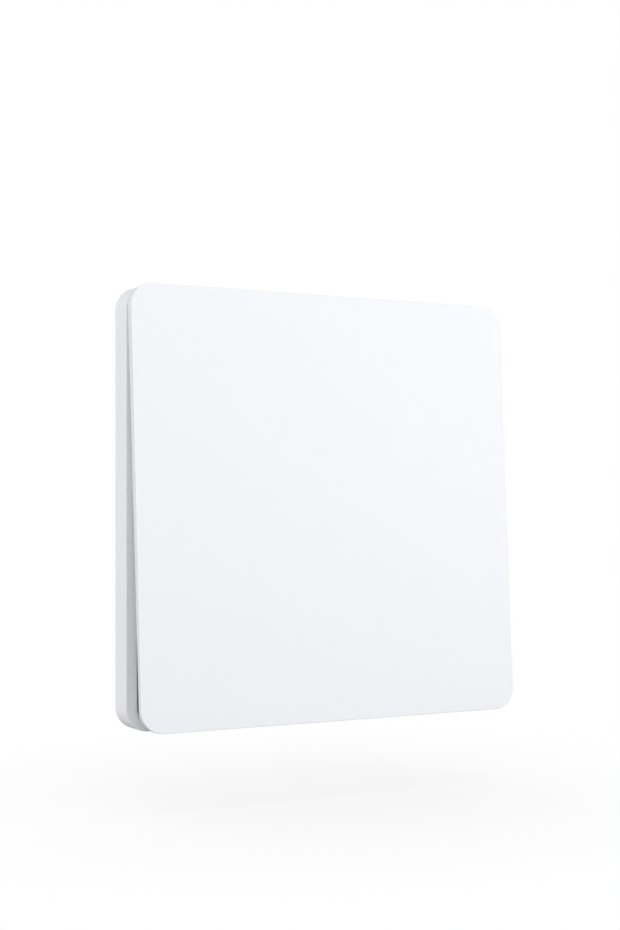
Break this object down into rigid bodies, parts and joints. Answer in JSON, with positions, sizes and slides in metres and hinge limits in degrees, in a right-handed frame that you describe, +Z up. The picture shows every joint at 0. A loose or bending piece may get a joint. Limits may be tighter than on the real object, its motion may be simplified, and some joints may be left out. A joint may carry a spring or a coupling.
{
  "type": "wireless wall switch",
  "caption": "Square battery-free wall switch: a white tray base on a wall plate, one sprung rocker hinged near its top, and a lever-driven generator with a radio board inside.",
  "frame": {"origin": "centre of the wall plate's back face, on the wall surface", "axes": "+X to the right seen from the front, +Y into the wall, +Z up; the rocker faces -Y"},
  "size_m": [0.086, 0.0145, 0.0862],
  "materials": {
    "white_shell": "satin moulded ABS, fine spark texture",
    "inner_grey": "moulded glass-filled plastic",
    "cover_grey": "moulded plastic",
    "bobbin_black": "moulded plastic",
    "screw_steel": "zinc plated",
    "core_steel": "bright soft iron",
    "spring_steel": "drawn wire",
    "magnet_nickel": "nickel plated",
    "copper_wire": "enamelled",
    "board_green": "solder mask",
    "chip_black": "moulded package",
    "capacitor_yellow": "moulded package",
    "can_metal": "plated lid",
    "silicone_grey": "soft matt"
  },
  "bodies": {
    "base": {"wall_plate": "white_shell", "base_housing": "white_shell", "sealing_gasket": "silicone_grey", "module_cover": "cover_grey", "cover_screws": "screw_steel", "generator_frame": "bobbin_black", "iron_core": "core_steel", "coil_bobbin": "bobbin_black", "coil_winding": "copper_wire", "coil_leads": "copper_wire", "circuit_board": "board_green", "radio_chip": "chip_black", "storage_capacitor": "capacitor_yellow", "rectifier": "chip_black", "crystal": "can_metal", "antenna": "spring_steel", "stop_pad_left": "silicone_grey", "stop_pad_right": "silicone_grey", "return_spring_left": "spring_steel", "return_spring_right": "spring_steel"},
    "rocker": {"rocker_cap": "white_shell", "rocker_frame": "inner_grey"},
    "lever": {"magnet": "magnet_nickel", "front_pole_plate": "core_steel", "rear_pole_plate": "core_steel", "magnet_carrier": "bobbin_black", "drive_spring": "spring_steel"}
  },
  "joints": [
    {"name": "rocker_tilt", "type": "hinge", "parent": "base", "child": "rocker", "pos_m": [0, -0.0053, 0.036], "axis": [1, 0, 0], "range_deg": [0, 3.5], "stiffness_Nm_per_rad": 1.55, "springref_deg": -3.5, "deforming": ["return_spring_left", "return_spring_right"]},
    {"name": "lever_turn", "type": "hinge", "parent": "base", "child": "lever", "pos_m": [0, -0.005, 0.002], "axis": [1, 0, 0], "range_deg": [0, 10.95]}
  ],
  "couplings": [
    {"joint": "lever_turn", "follows": "rocker_tilt", "ratio": 3.125}
  ]
}
